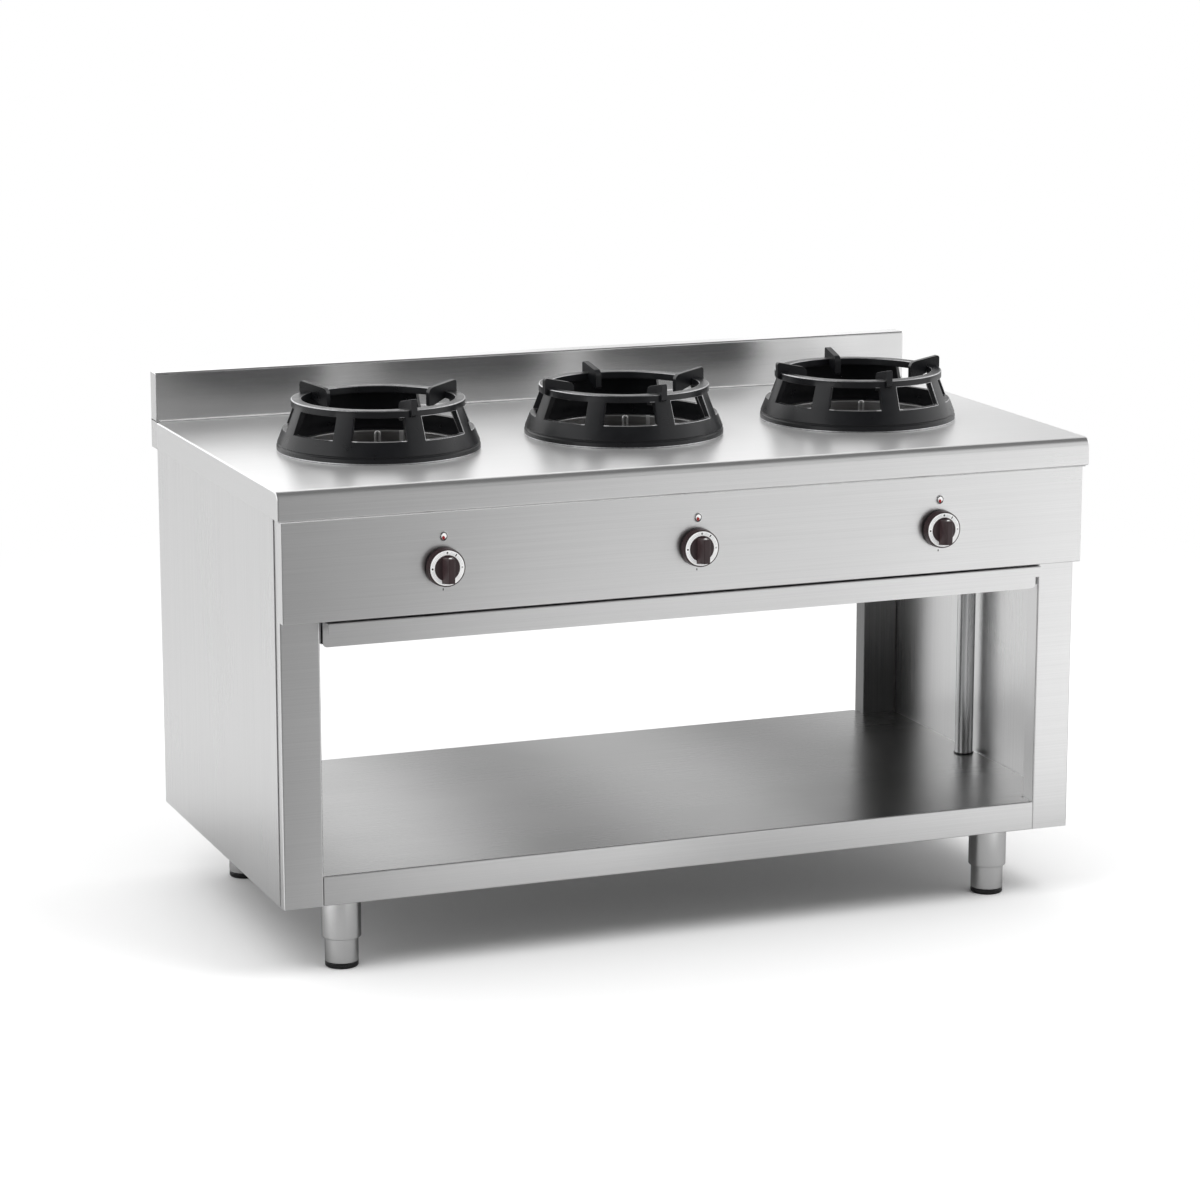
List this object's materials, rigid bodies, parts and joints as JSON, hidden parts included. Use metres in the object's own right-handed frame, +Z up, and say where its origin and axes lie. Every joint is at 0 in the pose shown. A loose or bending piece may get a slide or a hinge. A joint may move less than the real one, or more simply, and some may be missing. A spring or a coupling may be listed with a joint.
{
  "type": "wok range",
  "caption": "Free-standing stainless gas wok range with cast wok rings, push-and-turn knobs, a slide-out drip tray, a bottom shelf and levelling feet.",
  "frame": {"origin": "on the floor, below the centre of the bounding box", "axes": "+X to the right as seen from the front, +Y to the back, towards the wall, +Z up"},
  "size_m": [1.5, 0.8346, 0.959],
  "materials": {
    "brushed_steel": "brushed stainless steel",
    "pan_steel": "spun stainless steel, heat dulled",
    "zinc_steel": "zinc-plated steel",
    "cast_iron": "black satin enamel on cast iron",
    "burner_iron": "bare cast iron",
    "brass": "turned brass",
    "chrome": "bright wire and strip",
    "knob_plastic": "dark brown moulded phenolic",
    "dial_white": "white printed ring",
    "indicator_white": "white lens with a red mark",
    "pad_rubber": "matt black rubber"
  },
  "bodies": {
    "root": {"worktop": "brushed_steel", "upstand": "brushed_steel", "control_panel": "brushed_steel", "rear_panel": "brushed_steel", "side_panel_left": "brushed_steel", "side_panel_right": "brushed_steel", "post_front_left": "brushed_steel", "post_front_right": "brushed_steel", "post_rear_left": "brushed_steel", "post_rear_right": "brushed_steel", "bottom_shelf": "brushed_steel", "shelf_stiffener": "zinc_steel", "tray_runner_left": "zinc_steel", "tray_runner_right": "zinc_steel", "leg_front_left": "brushed_steel", "leg_front_right": "brushed_steel", "leg_rear_left": "brushed_steel", "leg_rear_right": "brushed_steel", "gas_manifold": "zinc_steel", "gas_supply_pipe": "zinc_steel", "burner_head_left": "burner_iron", "burner_head_middle": "burner_iron", "burner_head_right": "burner_iron", "burner_feed_left": "zinc_steel", "burner_feed_middle": "zinc_steel", "burner_feed_right": "zinc_steel", "pilot_left": "chrome", "pilot_middle": "chrome", "pilot_right": "chrome", "gas_valve_left": "brass", "gas_valve_middle": "brass", "gas_valve_right": "brass", "indicator_left": "indicator_white", "indicator_middle": "indicator_white", "indicator_right": "indicator_white"},
    "tray": {"drip_tray": "brushed_steel"},
    "level_front_left": {"foot_front_left": "brushed_steel", "foot_pad_front_left": "pad_rubber"},
    "level_front_right": {"foot_front_right": "brushed_steel", "foot_pad_front_right": "pad_rubber"},
    "level_rear_left": {"foot_rear_left": "brushed_steel", "foot_pad_rear_left": "pad_rubber"},
    "level_rear_right": {"foot_rear_right": "brushed_steel", "foot_pad_rear_right": "pad_rubber"},
    "pan_left": {"burner_pan_left": "pan_steel"},
    "pan_middle": {"burner_pan_middle": "pan_steel"},
    "pan_right": {"burner_pan_right": "pan_steel"},
    "ring_left": {"wok_ring_left": "cast_iron"},
    "ring_middle": {"wok_ring_middle": "cast_iron"},
    "ring_right": {"wok_ring_right": "cast_iron"},
    "spindle_left": {"valve_spindle_left": "brass"},
    "spindle_middle": {"valve_spindle_middle": "brass"},
    "spindle_right": {"valve_spindle_right": "brass"},
    "control_left": {"knob_left": "knob_plastic", "dial_ring_left": "dial_white"},
    "control_middle": {"knob_middle": "knob_plastic", "dial_ring_middle": "dial_white"},
    "control_right": {"knob_right": "knob_plastic", "dial_ring_right": "dial_white"}
  },
  "joints": [
    {"name": "tray_slide", "type": "slide", "parent": "root", "child": "tray", "axis": [0, -1, 0], "range_m": [0, 0.5]},
    {"name": "foot_front_left_level", "type": "slide", "parent": "root", "child": "level_front_left", "axis": [0, 0, -1], "range_m": [-0.02, 0.03]},
    {"name": "foot_front_right_level", "type": "slide", "parent": "root", "child": "level_front_right", "axis": [0, 0, -1], "range_m": [-0.02, 0.03]},
    {"name": "foot_rear_left_level", "type": "slide", "parent": "root", "child": "level_rear_left", "axis": [0, 0, -1], "range_m": [-0.02, 0.03]},
    {"name": "foot_rear_right_level", "type": "slide", "parent": "root", "child": "level_rear_right", "axis": [0, 0, -1], "range_m": [-0.02, 0.03]},
    {"name": "pan_left_lift", "type": "slide", "parent": "root", "child": "pan_left", "axis": [0, 0, 1], "range_m": [0, 0.12]},
    {"name": "pan_middle_lift", "type": "slide", "parent": "root", "child": "pan_middle", "axis": [0, 0, 1], "range_m": [0, 0.12]},
    {"name": "pan_right_lift", "type": "slide", "parent": "root", "child": "pan_right", "axis": [0, 0, 1], "range_m": [0, 0.12]},
    {"name": "ring_left_lift", "type": "slide", "parent": "pan_left", "child": "ring_left", "axis": [0, 0, 1], "range_m": [0, 0.12]},
    {"name": "ring_middle_lift", "type": "slide", "parent": "pan_middle", "child": "ring_middle", "axis": [0, 0, 1], "range_m": [0, 0.12]},
    {"name": "ring_right_lift", "type": "slide", "parent": "pan_right", "child": "ring_right", "axis": [0, 0, 1], "range_m": [0, 0.12]},
    {"name": "knob_left_turn", "type": "hinge", "parent": "root", "child": "spindle_left", "pos_m": [-0.46, -0.37475, 0.705], "axis": [0, -1, 0], "range_deg": [0, 270]},
    {"name": "knob_middle_turn", "type": "hinge", "parent": "root", "child": "spindle_middle", "pos_m": [0, -0.37475, 0.705], "axis": [0, -1, 0], "range_deg": [0, 270]},
    {"name": "knob_right_turn", "type": "hinge", "parent": "root", "child": "spindle_right", "pos_m": [0.46, -0.37475, 0.705], "axis": [0, -1, 0], "range_deg": [0, 270]},
    {"name": "knob_left_push", "type": "slide", "parent": "spindle_left", "child": "control_left", "axis": [0, 1, 0], "range_m": [0, 0.004], "stiffness_N_per_m": 2500},
    {"name": "knob_middle_push", "type": "slide", "parent": "spindle_middle", "child": "control_middle", "axis": [0, 1, 0], "range_m": [0, 0.004], "stiffness_N_per_m": 2500},
    {"name": "knob_right_push", "type": "slide", "parent": "spindle_right", "child": "control_right", "axis": [0, 1, 0], "range_m": [0, 0.004], "stiffness_N_per_m": 2500}
  ]
}
